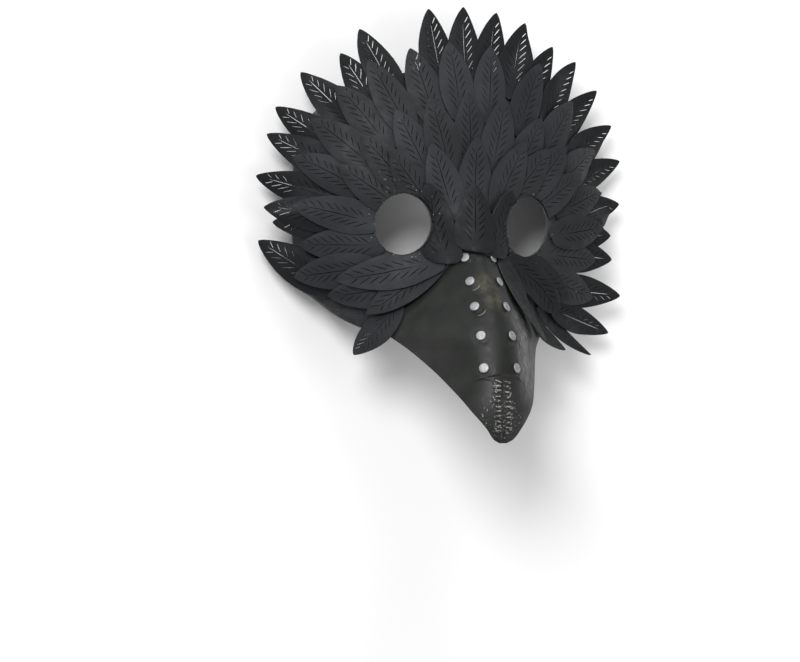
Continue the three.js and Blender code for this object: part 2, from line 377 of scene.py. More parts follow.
class Paint:
    """A material under construction, with short ways to the nodes that finishes share."""

    def __init__(self, name: str, specular: float, sheen: float = 0.0) -> None:
        """Starts a material with its shader and its object coordinates.

        Args:
            name: the material's name.
            specular: the shader's specular level.
            sheen: the weight of its sheen.
        """
        self.material = bpy.data.materials.new(name)
        self.material.use_nodes = True
        self.tree = self.material.node_tree
        self.shader = self.tree.nodes["Principled BSDF"]
        self.shader.inputs["Specular IOR Level"].default_value = specular
        self.shader.inputs["Sheen Weight"].default_value = sheen
        self.place = self.add("ShaderNodeTexCoord").outputs["Object"]

    def add(
        self, kind: str, settings: dict | None = None, inputs: dict | None = None
    ) -> bpy.types.Node:
        """Adds a node to this material."""
        return add_node(self.tree, kind, settings, inputs)

    def noise(
        self,
        period: float,
        detail: float = 3.0,
        stretch: tuple[float, float, float] = (1, 1, 1),
        turn: float = 0.0,
    ) -> Socket:
        """Adds noise from 0 to 1.

        Args:
            period: about how many millimetres wide its grains are.
            detail: how many finer layers it has.
            stretch: how much finer it is along each axis.
            turn: radians that it is turned around Z.

        Returns:
            The noise.
        """
        where = self.add(
            "ShaderNodeMapping",
            inputs={"Vector": self.place, "Scale": stretch, "Rotation": (0, 0, turn)},
        ).outputs[0]
        inputs = {"Vector": where, "Scale": 1000 / period, "Detail": detail}
        return self.add("ShaderNodeTexNoise", inputs=inputs).outputs[0]

    def remap(
        self, value: Socket, low: float, high: float, to_low: float = 0.0, to_high: float = 1.0
    ) -> Socket:
        """Carries a value smoothly from one range to another, and holds it there.

        Args:
            value: the value.
            low: where the range starts. It may be over high.
            high: where the range ends.
            to_low: what low becomes.
            to_high: what high becomes.

        Returns:
            The new value.
        """
        inputs = {"Value": value, "From Min": low, "From Max": high}
        inputs |= {"To Min": to_low, "To Max": to_high}
        settings = {"interpolation_type": "SMOOTHSTEP"}
        return self.add("ShaderNodeMapRange", settings, inputs).outputs[0]

    def maths(self, operation: str, first: Value, second: Value = 0.0) -> Socket:
        """Returns the outcome of a sum on two values."""
        settings = {"operation": operation}
        return self.add("ShaderNodeMath", settings, {0: first, 1: second}).outputs[0]

    def mix(self, share: Socket, first: Colour, second: Colour) -> Socket:
        """Blends two colours.

        Args:
            share: how much of the second one there is.
            first: a hex value or a socket.
            second: a hex value or a socket.

        Returns:
            The blend.
        """
        ends = [colour(c) if isinstance(c, str) else c for c in (first, second)]
        inputs = {"Factor": share, "A": ends[0], "B": ends[1]}
        node = self.add("ShaderNodeMix", {"data_type": "RGBA"})
        for name, value in inputs.items():
            kind = "VALUE" if name == "Factor" else "RGBA"
            socket = next(s for s in node.inputs if s.name == name and s.type == kind)
            if isinstance(value, bpy.types.NodeSocket):
                self.tree.links.new(value, socket)
            else:
                socket.default_value = value
        return next(s for s in node.outputs if s.type == "RGBA")

    def near(self, point: tuple[float, float, float], inner: float, outer: float) -> Socket:
        """Marks what lies near a point of the mask.

        Args:
            point: the point in the mask's own millimetres.
            inner: how far the mark stays whole.
            outer: where it has faded away.

        Returns:
            1 at the point, falling to 0.
        """
        centre = PLACE.to_frame(np.array(point, float))
        settings = {"operation": "DISTANCE"}
        away = self.add("ShaderNodeVectorMath", settings, {0: self.place, 1: tuple(centre)})
        return self.remap(away.outputs["Value"], outer * MILLI, inner * MILLI)

    def relief(self, *layers: tuple) -> None:
        """Adds bumps over one another.

        Args:
            layers: for each bump, a height from 0 to 1 and its depth in millimetres.
        """
        normal = None
        for height, depth in layers:
            inputs = {"Height": height, "Distance": depth * MILLI, "Strength": 1.0}
            if normal is not None:
                inputs["Normal"] = normal
            normal = self.add("ShaderNodeBump", inputs=inputs).outputs[0]
        self.tree.links.new(normal, self.shader.inputs["Normal"])

    def finish(self, base: Socket, roughness: Socket) -> bpy.types.Material:
        """Links the last sockets to the shader.

        Args:
            base: the colour.
            roughness: the roughness.

        Returns:
            The material.
        """
        self.tree.links.new(base, self.shader.inputs["Base Color"])
        self.tree.links.new(roughness, self.shader.inputs["Roughness"])
        return self.material


@dataclass(frozen=True)
class FeatherLeather:
    """Matte polyurethane leather, embossed with a fine grain and die-cut."""

    light: str = "323538"
    dark: str = "16181a"
    scuff: str = "66686a"
    speck: str = "b9b9b6"
    grain: float = 0.55  # mm across, about twice the real grain so that it shows
    dust: float = 2.6  # mm between specks round the eye holes
    blotch: float = 14.0
    worn_spot: tuple[float, float, float] = (-44.0, 27.0, 57.0)
    dusty_spots: tuple[tuple[tuple[float, float, float], float], ...] = (
        ((-37.7, 0, 56), 25.0),
        ((37.7, 0, 56), 23.0),
    )

    def build(self) -> bpy.types.Material:
        """Builds it from each feather's tone, which on the cheeks also carries painted light and
        shade, with a rubbed spot and dusty eye holes.

        Returns:
            The material.
        """
        # Coated leather gives an even charcoal with a broad, dull sheen on each bend.
        paint = Paint("charcoal_polyurethane_leather", 0.18)
        tone = paint.add("ShaderNodeAttribute", {"attribute_name": "tone"}).outputs["Fac"]
        cloud = paint.noise(self.blotch)
        share = paint.maths("ADD", tone, paint.remap(cloud, 0.35, 0.7, -0.07, 0.08))
        base = paint.mix(paint.remap(share, 0.0, 1.0), self.dark, self.light)
        rub = paint.remap(paint.noise(2.2, 4.0), 0.6, 0.78)
        worn = paint.near(self.worn_spot, 4.0, 15.0)
        rubbed = paint.maths("MULTIPLY", rub, paint.maths("MULTIPLY", worn, 0.7))
        base = paint.mix(rubbed, base, self.scuff)
        around = [paint.near(spot, 15.0, reach) for spot, reach in self.dusty_spots]
        eyes = paint.maths("MAXIMUM", *around)
        inputs = {"Vector": paint.place, "Scale": 1000 / self.dust}
        dust = paint.add("ShaderNodeTexVoronoi", inputs=inputs).outputs["Distance"]
        specks = paint.maths("MULTIPLY", paint.remap(dust, 0.16, 0.08), eyes)
        base = paint.mix(paint.maths("MULTIPLY", specks, 0.8), base, self.speck)
        inputs = {"Vector": paint.place, "Scale": 1000 / self.grain}
        cells = paint.add("ShaderNodeTexVoronoi", inputs=inputs).outputs["Distance"]
        paint.relief((cells, 0.03), (paint.noise(3.0), 0.12), (cloud, 0.5))
        return paint.finish(base, paint.remap(paint.noise(5.0), 0.3, 0.7, 0.50, 0.64))


@dataclass(frozen=True)
class CutEdge:
    """The felt core of imitation leather, greyer where the die has cut it, and also a painted
    highlight along the leaf edges.
    """

    core: str = "454645"
    dark: str = "2a2b2b"

    def build(self) -> bpy.types.Material:
        """Builds it from fine fibres.

        Returns:
            The material.
        """
        # The cut core is matte and fibrous; its grey is partly its own and partly a painted
        # highlight that shows as a thin line along each edge.
        paint = Paint("cut_leather_edge", 0.2)
        fibres = paint.noise(0.4, 2.0)
        base = paint.mix(paint.remap(fibres, 0.3, 0.7), self.dark, self.core)
        paint.relief((fibres, 0.05))
        return paint.finish(base, paint.remap(fibres, 0.0, 1.0, 0.75, 0.95))


@dataclass(frozen=True)
class BackingCloth:
    """Knitted backing cloth on the underside of imitation leather."""

    light: str = "3a3b3d"
    dark: str = "1f2021"
    thread: float = 0.9  # mm between real ribs, which are drawn coarser so that they show

    def build(self) -> bpy.types.Material:
        """Builds it from two crossed sets of ribs.

        Returns:
            The material.
        """
        # Knitted cloth gives a matte, softly fuzzy back without any shine.
        paint = Paint("knitted_backing", 0.15, sheen=0.2)
        ribs = []
        for turn in (0.0, math.pi / 2):
            inputs = {"Vector": paint.place, "Rotation": (0, 0, turn)}
            where = paint.add("ShaderNodeMapping", inputs=inputs).outputs[0]
            # A wave's period is 0.314 m over its scale, so the ribs are drawn twice as wide.
            inputs = {"Vector": where, "Scale": 1000 / self.thread / 6.28, "Distortion": 0.6}
            inputs |= {"Detail Scale": 2.0}
            ribs.append(paint.add("ShaderNodeTexWave", inputs=inputs).outputs["Fac"])
        weave = paint.maths("MULTIPLY", *ribs)
        fluff = paint.noise(6.0, 5.0)
        share = paint.maths("ADD", weave, paint.remap(fluff, 0.3, 0.7, -0.2, 0.3))
        base = paint.mix(paint.remap(share, 0.0, 1.0), self.dark, self.light)
        paint.relief((weave, 0.12), (fluff, 0.2))
        return paint.finish(base, paint.remap(fluff, 0.0, 1.0, 0.88, 0.98))


@dataclass(frozen=True)
class BeakLeather:
    """Smooth satin imitation leather, pulled over a former and rubbed along its edges, with painted
    sheen and highlights among its pale marks.
    """

    light: str = "242624"
    dark: str = "1b1d1b"
    worn: str = "423f34"
    pale_wear_and_sheen: str = "a2a3a1"
    grain: float = 0.7  # mm across, drawn coarser than real so that it shows
    worn_spots: tuple[tuple[tuple[float, float, float], float, float], ...] = (
        ((-1.5, -31, 91), 3.0, 10.0),
        ((2.0, -40, 97), 2.0, 9.0),
    )
    crease_highlight_studs: Pairs = ((-31, 88.5), (-44.5, 98.5))
    seam_middle: tuple[float, float, float] = (-1, -104, 119)

    def build(self) -> bpy.types.Material:
        """Builds it with wear along the spine, a painted sheen over pale hairs on the right flank,
        painted highlights on two creases, and rubbed flecks with painted glints round the laced
        seam.

        Returns:
            The material.
        """
        # A smooth coat gives soft, long highlights along the former's curves.
        paint = Paint("satin_black_imitation_leather", 0.26)
        cloud = paint.noise(18.0)
        base = paint.mix(paint.remap(cloud, 0.35, 0.65), self.dark, self.light)
        split = paint.add("ShaderNodeSeparateXYZ", inputs={0: paint.place})
        across = paint.maths("SUBTRACT", split.outputs["X"], float(PLACE.offset[0]))
        up = paint.maths("SUBTRACT", split.outputs["Y"], float(PLACE.offset[1]))
        patch = paint.maths("MAXIMUM", *[paint.near(*spot) for spot in self.worn_spots])
        mottle = paint.remap(paint.noise(2.4, 5.0), 0.35, 0.62, 0.4, 1.0)
        base = paint.mix(paint.maths("MULTIPLY", patch, mottle), base, self.worn)
        # The right flank gets pale brushing marks, partly wear and partly a painted sheen along
        # that edge; they start 10 mm right of the spine and fade past 20 mm.
        flank = paint.remap(across, 0.010, 0.019)
        flank = paint.maths("MULTIPLY", flank, paint.remap(across, 0.030, 0.020, 0.2, 1.0))
        flank = paint.maths("MULTIPLY", flank, paint.remap(up, -0.100, -0.080))
        flank = paint.maths("MULTIPLY", flank, paint.remap(up, -0.040, -0.058))
        # Two sets of long fine hairs that cross at a slight angle.
        hairs = paint.maths(
            "MAXIMUM",
            paint.noise(1.1, 2.0, stretch=(0.8, 0.06, 1.1), turn=0.3),
            paint.noise(0.9, 2.0, stretch=(0.8, 0.05, 1.1), turn=0.05),
        )
        patches = paint.remap(paint.noise(9.0, 2.0), 0.35, 0.65, 0.45, 1.0)
        pale_wear_and_sheen = paint.maths("MULTIPLY", flank, paint.remap(hairs, 0.47, 0.66))
        pale_wear_and_sheen = paint.maths("MULTIPLY", pale_wear_and_sheen, patches)
        base = paint.mix(paint.maths("MULTIPLY", pale_wear_and_sheen, 0.7), base, self.pale_wear_and_sheen)
        # A bright arc where the sheet is pulled under two of the left studs: a painted highlight
        # along the crease there, with some scuffing.
        for stud_y, stud_z in self.crease_highlight_studs:
            ring = paint.near((-8.6, stud_y, stud_z), 4.7, 5.1)
            ring = paint.maths("SUBTRACT", ring, paint.near((-8.6, stud_y, stud_z), 4.2, 4.7))
            here = paint.near((-5.6, stud_y - 4.2, stud_z + 3), 2.0, 4.5)
            crease_highlight_and_scuff = paint.maths("MULTIPLY", ring, here)
            base = paint.mix(paint.maths("MULTIPLY", crease_highlight_and_scuff, 0.5), base, self.pale_wear_and_sheen)
        # Pale flecks round the laced seam: partly rubbed wear and partly painted glints.
        flecks = paint.remap(paint.noise(1.0, 5.0), 0.60, 0.70)
        seam = paint.maths("MULTIPLY", paint.near(self.seam_middle, 9.0, 16.0), flecks)
        base = paint.mix(paint.maths("MULTIPLY", seam, 0.75), base, self.pale_wear_and_sheen)
        inputs = {"Vector": paint.place, "Scale": 1000 / self.grain}
        cells = paint.add("ShaderNodeTexVoronoi", inputs=inputs).outputs["Distance"]
        pull = paint.noise(4.0, 3.0, stretch=(1.0, 0.25, 1.0))
        paint.relief((cells, 0.02), (pull, 0.12), (hairs, 0.02))
        rough = paint.remap(paint.noise(7.0), 0.3, 0.7, 0.42, 0.54)
        return paint.finish(base, paint.maths("ADD", rough, paint.maths("MULTIPLY", pale_wear_and_sheen, 0.25)))


@dataclass(frozen=True)
class LacingCord:
    """Waxed black lacing, rubbed grey where it stands proud, with painted glints."""

    light: str = "949592"
    dark: str = "2c2d2c"

    def build(self) -> bpy.types.Material:
        """Builds it from fine patches that are partly rubbed wear and partly painted glints.

        Returns:
            The material.
        """
        # Small bright flecks on the crowns, partly rubbed wear and partly painted glints of the
        # wax, with black between them.
        paint = Paint("waxed_lacing", 0.4)
        rub = paint.noise(0.8, 4.0)
        base = paint.mix(paint.remap(rub, 0.40, 0.58), self.dark, self.light)
        paint.relief((rub, 0.08))
        return paint.finish(base, paint.remap(rub, 0.0, 1.0, 0.4, 0.6))


@dataclass(frozen=True)
class ShellFelt:
    """Black felt over the formed shell, outside under the feathers and inside as lining."""

    light: str = "36373a"
    dark: str = "1d1e1f"
    fibre: float = 0.8  # mm between tufts, coarser than real so that it shows

    def build(self) -> bpy.types.Material:
        """Builds it from fibres and soft clouds.

        Returns:
            The material.
        """
        # Pressed wool gives a deep matte black with a faint pale bloom at its edges.
        paint = Paint("black_felt", 0.2, sheen=0.25)
        fibres = paint.noise(self.fibre, 4.0)
        cloud = paint.noise(12.0)
        share = paint.maths("ADD", fibres, paint.remap(cloud, 0.3, 0.7, -0.15, 0.15))
        base = paint.mix(paint.remap(share, 0.3, 0.8), self.dark, self.light)
        paint.relief((fibres, 0.15), (cloud, 0.4))
        return paint.finish(base, paint.remap(cloud, 0.0, 1.0, 0.85, 0.97))


@dataclass(frozen=True)
class SatinNickel:
    """Nickel-plated steel, tumbled to a satin shine with fine handling scratches."""

    bright: str = "b0b2b4"
    dull: str = "9a9c9e"

    def build(self) -> bpy.types.Material:
        """Builds it from a cloudy plating and crossing scratches.

        Returns:
            The material.
        """
        # Tumbled plating gives a pale, blurred reflection with no sharp glint.
        paint = Paint("satin_nickel", 0.5)
        paint.shader.inputs["Metallic"].default_value = 1.0
        scratches = paint.noise(0.5, 3.0, stretch=(1.0, 0.2, 1.0), turn=0.7)
        cloud = paint.noise(1.6)
        base = paint.mix(paint.remap(cloud, 0.3, 0.7), self.dull, self.bright)
        paint.relief((scratches, 0.01))
        return paint.finish(base, paint.remap(scratches, 0.3, 0.7, 0.56, 0.68))


@dataclass(frozen=True)
class StudioFloor:
    """A matte white sheet under the mask."""

    tint: str = "f4f4f4"

    def build(self) -> bpy.types.Material:
        """Builds it from two near whites.

        Returns:
            The material.
        """
        # A matte sheet takes soft shadows and shows no reflection.
        paint = Paint("white_sheet", 0.2)
        cloud = paint.noise(400.0)
        base = paint.mix(cloud, self.tint, "ffffff")
        return paint.finish(base, paint.remap(cloud, 0.0, 1.0, 0.85, 0.95))


def deselect() -> None:
    """Leaves nothing selected."""
    bpy.ops.object.select_all(action="DESELECT")


def activate(piece: bpy.types.Object) -> None:
    """Selects one piece alone and makes it active.

    Args:
        piece: the piece.
    """
    deselect()
    piece.select_set(True)
    bpy.context.view_layer.objects.active = piece


def apply_modifier(piece: bpy.types.Object, kind: str, **settings: object) -> None:
    """Adds a modifier with its settings and applies it.

    Args:
        piece: the piece.
        kind: the modifier's type name.
        settings: its properties by name.
    """
    activate(piece)
    modifier = piece.modifiers.new(kind.title(), kind)
    for name, value in settings.items():
        setattr(modifier, name, value)
    bpy.ops.object.modifier_apply(modifier=modifier.name)


def cut_out(piece: bpy.types.Object, cutter: bpy.types.Object) -> None:
    """Takes a closed cutter out of a piece."""
    apply_modifier(piece, "BOOLEAN", operation="DIFFERENCE", solver="EXACT", object=cutter)


def drop(*pieces: bpy.types.Object) -> None:
    """Removes helpers from the scene."""
    for piece in pieces:
        bpy.data.objects.remove(piece)


def coordinates(mesh: bpy.types.Mesh) -> Array:
    """Reads a mesh's points.

    Args:
        mesh: the mesh.

    Returns:
        A row of x, y and z for each point.
    """
    out = np.zeros(len(mesh.vertices) * 3)
    mesh.vertices.foreach_get("co", out)
    return out.reshape(-1, 3)


def set_coordinates(mesh: bpy.types.Mesh, points: Array) -> None:
    """Moves a mesh's points."""
    mesh.vertices.foreach_set("co", points.ravel())
    mesh.update()


def face_rows(mesh: bpy.types.Mesh, name: str) -> Array:
    """Reads a vector of each face.

    Args:
        mesh: the mesh.
        name: "normal" or "center".

    Returns:
        A row of x, y and z for each face.
    """
    out = np.zeros(len(mesh.polygons) * 3)
    mesh.polygons.foreach_get(name, out)
    return out.reshape(-1, 3)


def add_object(name: str, data: bpy.types.ID) -> bpy.types.Object:
    """Adds an object to the scene.

    Args:
        name: its name.
        data: its mesh, light or camera.

    Returns:
        The object.
    """
    added = bpy.data.objects.new(name, data)
    bpy.context.scene.collection.objects.link(added)
    return added


def joined(pieces: list[bpy.types.Object]) -> bpy.types.Object:
    """Joins pieces into one.

    Args:
        pieces: the pieces.

    Returns:
        The first of them, which now holds them all.
    """
    activate(pieces[0])
    for piece in pieces:
        piece.select_set(True)
    if len(pieces) > 1:
        bpy.ops.object.join()
    return pieces[0]


def soften(piece: bpy.types.Object, degrees: float = 40.0) -> None:
    """Shades a piece smooth, apart from edges sharper than the angle."""
    activate(piece)
    bpy.ops.object.shade_smooth_by_angle(angle=math.radians(degrees))


def dress(piece: bpy.types.Object, finish: bpy.types.Material, degrees: float) -> None:
    """Gives a piece one finish all over, and shades it.

    Args:
        piece: the piece.
        finish: its material.
        degrees: the angle from which an edge stays sharp.
    """
    piece.data.materials.clear()
    piece.data.materials.append(finish)
    soften(piece, degrees)


def hand_over(piece: bpy.types.Object, nodes: tuple[str, ...] = ()) -> None:
    """Fixes a finished piece to the frame and reports it.

    Args:
        piece: the piece, with its place in its mesh.
        nodes: the solids that it stands for.
    """
    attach(piece, "root")
    if nodes:
        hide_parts(*nodes)
    count = sum(len(p.vertices) - 2 for p in piece.data.polygons)
    log.info("%s: %d triangles", piece.name, count)


def grid(name: str, across: int, along: int) -> bpy.types.Object:
    """Adds a flat grid from -1 to 1 both ways.

    Args:
        name: the piece's name.
        across: how many cells it has along X.
        along: how many it has along Y.

    Returns:
        The grid.
    """
    deselect()
    bpy.ops.mesh.primitive_grid_add(x_subdivisions=across, y_subdivisions=along, size=2)
    piece = bpy.context.object
    piece.name = name
    return piece


def eye_prism(side: int) -> bpy.types.Object:
    """Adds the prism, in metres, that cuts one eye hole through whatever it meets.

    Args:
        side: -1 for the left hole and 1 for the right one.

    Returns:
        The prism.
    """
    deselect()
    bpy.ops.mesh.primitive_cylinder_add(vertices=96, radius=1, depth=2)
    piece = bpy.context.object
    piece.name = "eye_prism"
    points = coordinates(piece.data) * np.array([EYE_HALF_WIDTH, EYE_HALF_HEIGHT, 90.0])
    set_coordinates(piece.data, PLACE.to_frame(points + np.array([EYE_X[side], 0, 60.0])))
    return piece


@dataclass(frozen=True)
class Cut:
    """A die-cut leaf: its size, how blunt its base is and where its veins are slit."""

    name: str
    length: float = 48.0
    width: float = 20.0
    blunt: float = 0.06  # how much of the outline is left off at the root
    base_round: float = 0.05  # the share of the length over which the root rounds off
    fullness: float = 0.72  # under 1 keeps the leaf broad towards its ends
    thickness: float = 0.7
    tip_half_width: float = 0.15
    bevel: float = 0.14
    slit: float = 0.42  # the width of a cut
    rib_from_tip: float = 5.0  # where the midrib's cut starts, from the tip
    rib_to_tip: float = 37.0  # where it ends, from the tip
    first_vein: float = 6.5  # from the tip
    vein_step: float = 4.3
    veins: int = 8  # on each side
    vein_angle: float = 34.0
    vein_share: float = 0.86  # a vein's length as a share of the half width there
    longest_vein: float = 7.4
    seed: int = 11

    def half(self, u: Array) -> Array:
        """Finds how wide the leaf is.

        Args:
            u: shares of the length, from root to tip.

        Returns:
            The half width at each share.
        """
        v = self.blunt + (1 - self.blunt) * u
        share = np.maximum(0, np.sin(math.pi * v**0.9)) ** self.fullness
        root = np.sqrt(np.clip(1 - (1 - np.clip(u / self.base_round, 0, 1)) ** 2, 0, 1))
        return self.width / 2 * share * root + self.tip_half_width

    def slits(self) -> list[tuple[float, float, float, float]]:
        """Lists the slits of the midrib and of the veins on both its sides.

        Returns:
            For each slit its side offset, height from the root, length and angle.
        """
        rng = np.random.default_rng(self.seed)
        middle = self.length - (self.rib_from_tip + self.rib_to_tip) / 2
        found = [(0.0, middle, self.rib_to_tip - self.rib_from_tip, 0.0)]
        for n in range(self.veins):
            away = self.first_vein + n * self.vein_step
            half = float(self.half(np.array(1 - away / self.length)))
            long = min(self.longest_vein, self.vein_share * half)
            aside = 0.5 + 0.29 * half
            for side in (-1, 1):
                shift = 0.8 * side + rng.uniform(-0.4, 0.4)
                angle = side * (self.vein_angle + rng.uniform(-4, 4))
                size = long * rng.uniform(0.85, 1.08)
                found.append((side * aside, self.length - away + shift, size, angle))
        return found

    def build(self) -> bpy.types.Object:
        """Cuts the flat leaf in millimetres, its root at y = 0 and its back at z = 0.

        Returns:
            The leaf, with its slits, its finishes and its UV map.
        """
        leaf = grid(self.name, 12, 36)
        points = coordinates(leaf.data)
        t = (points[:, 1] + 1) / 2
        u = 0.45 * t + 0.55 * (1 - np.cos(math.pi * t)) / 2
        flat = np.stack([points[:, 0] * self.half(u), u * self.length, 0 * u], -1)
        set_coordinates(leaf.data, flat)
        apply_modifier(leaf, "SOLIDIFY", thickness=self.thickness, offset=1.0)
        apply_modifier(
            leaf, "BEVEL", width=self.bevel, segments=1, angle_limit=math.radians(50)
        )
        cutters = []
        for aside, height, long, angle in self.slits():
            deselect()
            bpy.ops.mesh.primitive_cylinder_add(
                vertices=8,
                radius=1,
                depth=4,
                location=(aside, height, 0),
                rotation=(0, 0, -math.radians(angle)),
                scale=(self.slit / 2, long / 2, 1),
            )
            cutters.append(bpy.context.object)
        cutter = joined(cutters)
        cut_out(leaf, cutter)
        drop(cutter)
        apply_modifier(leaf, "TRIANGULATE", min_vertices=5)
        self.sort_faces(leaf)
        soften(leaf)
        return leaf

    def sort_faces(self, leaf: bpy.types.Object) -> None:
        """Gives front, cut edge and back their own finish, and the leaf its own UV map.

        Args:
            leaf: the flat leaf.
        """
        z = face_rows(leaf.data, "normal")[:, 2]
        centres = face_rows(leaf.data, "center")
        rim = self.half(np.clip(centres[:, 1] / self.length, 0, 1)) - np.abs(centres[:, 0]) < 0.4
        # Slit walls inside the outline take the dark front finish instead of the grey core, as
        # painted shade that keeps the slits dark.
        finish = np.where((z > 0.5) | ~rim, Side.OUTER.value, Side.EDGE.value)
        finish = np.where(z < -0.5, Side.INNER.value, finish)
        leaf.data.polygons.foreach_set("material_index", finish.astype(np.int32))
        corners = np.zeros(len(leaf.data.loops), np.int32)
        leaf.data.loops.foreach_get("vertex_index", corners)
        points = coordinates(leaf.data)[corners]
        uv = np.stack([points[:, 0] / self.width + 0.5, points[:, 1] / self.length], -1)
        layer = leaf.data.uv_layers.new(name="leaf")
        layer.data.foreach_set("uv", uv.ravel())


@dataclass(frozen=True)
class Move:
    """How one leaf differs from its even place in the row, as measured in the photograph.

    It is moved right and up in millimetres, turned clockwise in degrees and stretched.
    """

    right: float = 0.0
    up: float = 0.0
    turn: float = 0.0
    length: float = 1.0
    width: float = 1.0


@dataclass(frozen=True)
class Row:
    """A row of feathers that fans out from a point on the centre line.

    Angles are degrees clockwise from straight up. The roots lie at the radius side
    from the fan's point, and at the radius top straight up.
    """

    name: str
    angles: tuple[float, ...]
    top: float
    side: float
    cut: Cut
    fan_y: float = -12.0
    fan_drop: float = 14.0  # how much lower the fan's point is for what stands straight up
    length: float = 48.0
    curl: float = 1.0  # 1 lifts the leaf evenly to its tip, 2 keeps the lift to the tip
    drape: float = 0.6  # how far its sides hang over the bed's curve
    follow: float = 0.8  # how far its midrib bends along the bed
    level: float = 0.0  # how far it lies level from side to side
    climb: float = 0.12  # how far its tip lifts, as a share of the length
    moves: dict[int, Move] = field(default_factory=dict)
    order: tuple[int, ...] = ()  # in which its leaves are laid; else every other one first
    fused: bool = False
    tone: float = 0.5  # from the dark to the light end of the leather


class Feather:
    """One leaf laid over the mask along a path on its bed."""

    STEPS = 48  # along the path
    REACH = 8  # steps that smooth the path on each side
    WINDOW = 7, 4  # rows and columns of the lift that smooth it on each side
    CLEARANCE = 0.12

    def __init__(self, row: Row, number: int, rng: np.random.Generator) -> None:
        """Works out the leaf's path and its small differences from its neighbours.

        Args:
            row: the leaf's row.
            number: its place in the row, from 1.
            rng: where its differences are drawn from.
        """
        self.row, self.number, self.cut = row, number, row.cut
        self.twist = math.radians(rng.uniform(-2.5, 2.5))
        self.tip_curl = rng.uniform(-0.6, 0.9)
        self.cup = rng.uniform(0.4, 0.9)
        self.tone = row.tone + rng.uniform(-0.13, 0.13)
        self.move = row.moves.get(number, Move())
        self.length = row.length * self.move.length
        self.trace()
        self.hang()

    def trace(self) -> None:
        """Follows the bed from the root to the tip."""
        row = self.row
        angle = math.radians(row.angles[self.number - 1])
        sin, cos = math.sin(angle), math.cos(angle)
        upward = max(0.0, cos)
        radius = row.side + (row.top - row.side) * upward
        x = radius * sin + self.move.right
        y = row.fan_y - row.fan_drop * upward + radius * cos + self.move.up
        angle += math.radians(self.move.turn)
        sin, cos = math.sin(angle), math.cos(angle)
        pace = self.length / self.STEPS
        root = np.array([x, y, HEAD.bed_at(x, y)])
        tangent = unit(np.array([sin, cos, HEAD.fall(x, y, sin, cos)]))
        roll = HEAD.fall(x, y, cos, -sin)
        at, across = [], []
        for n in range(self.STEPS + 1):
            drop_ahead = HEAD.fall(x, y, sin, cos)
            tilt = roll + (HEAD.fall(x, y, cos, -sin) - roll) * row.follow
            straight = root + tangent * n * pace
            at.append(straight + (np.array([x, y, HEAD.bed_at(x, y)]) - straight) * row.follow)
            across.append(unit(np.array([cos, -sin, tilt * (1 - row.level)])))
            x += sin * pace / math.hypot(1, drop_ahead)
            y += cos * pace / math.hypot(1, drop_ahead)
        self.at = steady(np.array(at), self.REACH)
        self.across = unit(steady(np.array(across), self.REACH))
        self.normal = unit(np.cross(self.across, np.gradient(self.at, axis=0)))

    def hang(self) -> None:
        """Lets the leaf's sides hang down over the bed's curve, as far as leather bends."""
        u, s = np.meshgrid(
            np.linspace(0, 1, self.STEPS + 1), np.linspace(-1, 1, 17), indexing="ij"
        )
        aside = s * self.half(u)
        x, y = self.at[:, :1], self.at[:, 1:2]
        dx, dy = self.across[:, :1] * aside, self.across[:, 1:2] * aside
        beside = (HEAD.bed_z(x + dx, y + dy) + HEAD.bed_z(x - dx, y - dy)) / 2
        sag = np.clip(beside - HEAD.bed_z(x, y), -6.0, 1.5)
        self.lift = windowed(self.row.drape * sag, 7, 2, np.mean)

    def half(self, u: Array) -> Array:
        """Returns the leaf's half width at shares u of the length."""
        return self.cut.half(u) * self.move.width

    def read(self, table: Array, u: Array) -> Array:
        """Reads a table of the path between its steps.

        Args:
            table: a row a step.
            u: shares of the length.

        Returns:
            The table's value at each share.
        """
        steps = np.linspace(0, 1, self.STEPS + 1)
        return np.stack([np.interp(u, steps, table[:, n]) for n in range(3)], -1)

    def read_lift(self, u: Array, s: Array) -> Array:
        """Reads the lift between its points.

        Args:
            u: shares of the length.
            s: shares of the half width, from -1 to 1.

        Returns:
            The lift in millimetres.
        """
        rows, columns = self.lift.shape
        a = np.clip(u, 0, 1) * (rows - 1)
        b = (np.clip(s, -1, 1) + 1) / 2 * (columns - 1)
        i = np.minimum(a.astype(int), rows - 2)
        j = np.minimum(b.astype(int), columns - 2)
        p, q = a - i, b - j
        near = self.lift[i, j] * (1 - q) + self.lift[i, j + 1] * q
        far = self.lift[i + 1, j] * (1 - q) + self.lift[i + 1, j + 1] * q
        return near * (1 - p) + far * p

    def surface(self, u: Array, aside: Array, height: Array) -> tuple[Array, Array]:
        """Bends flat points of the leaf onto its place.

        Args:
            u: shares of the length, from root to tip.
            aside: millimetres from the midrib.
            height: millimetres above the leaf's back.

        Returns:
            The points and their normals.
        """
        row = self.row
        at, across = self.read(self.at, u), unit(self.read(self.across, u))
        normal = unit(self.read(self.normal, u))
        half = np.maximum(self.half(u), 0.5)
        share = np.clip(aside / half, -1, 1)
        layer = GAP + row.climb * u**row.curl * self.length
        layer += self.tip_curl * u**4 - self.cup * share**2 * half / 10
        layer += aside * math.tan(self.twist) * u + self.read_lift(u, share)
        points = at + across * aside[..., None] + normal * layer[..., None]
        points[..., 2] = HEAD.above_floor(points[..., 2])
        return points + normal * height[..., None], normal

    def samples(self, along: int, across: int, height: float) -> tuple[Array, Array]:
        """Samples the leaf at even shares of its length and width.

        Args:
            along: how many samples it takes along the leaf.
            across: how many it takes across.
            height: millimetres above the leaf's back.

        Returns:
            The points and their normals.
        """
        u, s = np.meshgrid(np.linspace(0, 1, along), np.linspace(-1, 1, across), indexing="ij")
        return self.surface(u, s * self.half(u), np.full_like(u, height))

